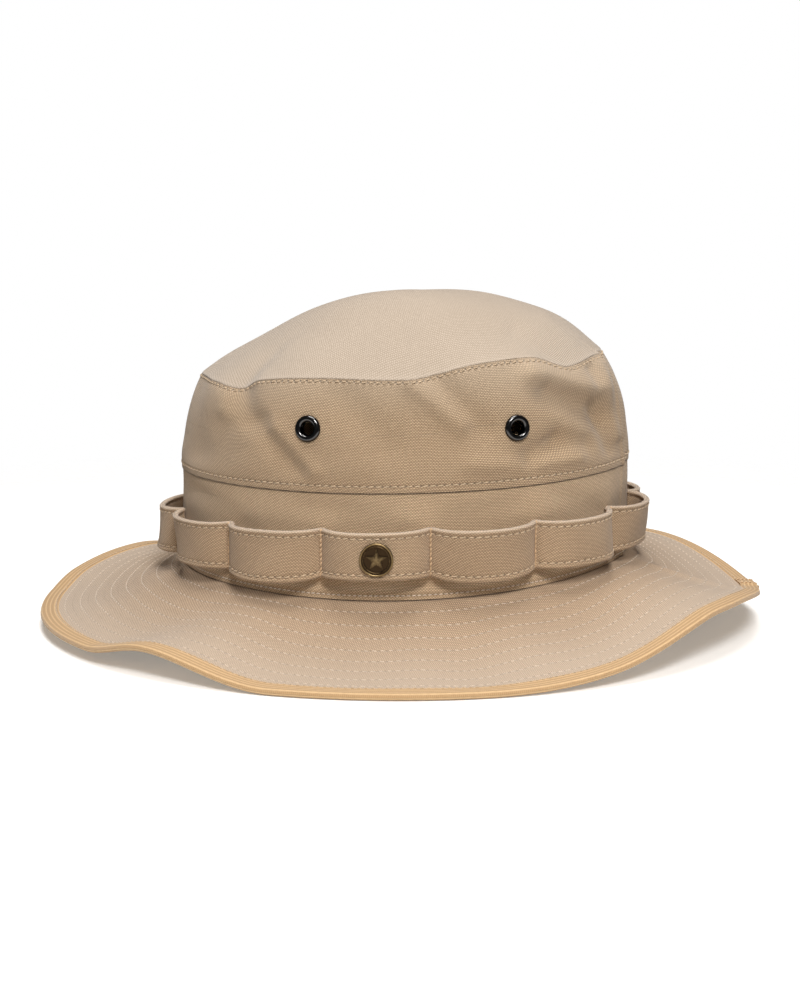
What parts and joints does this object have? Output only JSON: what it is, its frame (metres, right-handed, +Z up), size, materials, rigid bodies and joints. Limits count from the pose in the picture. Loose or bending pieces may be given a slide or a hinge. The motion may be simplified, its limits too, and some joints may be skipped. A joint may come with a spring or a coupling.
{
  "type": "boonie hat",
  "caption": "Soft sun hat with an oval domed crown, vent eyelets, a ring of loops round the band and a wide quilted brim with a bound edge.",
  "frame": {"origin": "on the floor, under the middle of the brim's outline", "axes": "+Z up, the front of the hat faces -Y, the wearer's left is +X"},
  "size_m": [0.3, 0.338, 0.1534],
  "materials": {
    "twill": "washed cotton twill, matte",
    "loop_twill": "doubled cotton twill strip, matte",
    "binding_tape": "ribbed bias tape, matte",
    "interlining": "plain buckram",
    "sweatband_cloth": "soft cotton tape, matte",
    "lining_tape": "bias tape, matte",
    "label_cloth": "woven label, blank",
    "eyelet_metal": "dark gunmetal, glossy",
    "stud_brass": "aged brass"
  },
  "bodies": {
    "root": {"crown_tip": "twill", "crown_side": "twill", "crown_band": "twill", "loop_strip": "loop_twill", "brim_top": "twill", "brim_bottom": "twill", "brim_interlining": "interlining", "brim_binding": "binding_tape", "sweatband": "sweatband_cloth", "tip_seam_tape": "lining_tape", "back_seam_tape": "lining_tape", "size_label": "label_cloth", "stud_cap": "stud_brass", "stud_post": "stud_brass", "eyelet_left_front": "eyelet_metal", "eyelet_washer_left_front": "eyelet_metal", "eyelet_left_back": "eyelet_metal", "eyelet_washer_left_back": "eyelet_metal", "eyelet_right_front": "eyelet_metal", "eyelet_washer_right_front": "eyelet_metal", "eyelet_right_back": "eyelet_metal", "eyelet_washer_right_back": "eyelet_metal"}
  },
  "joints": []
}
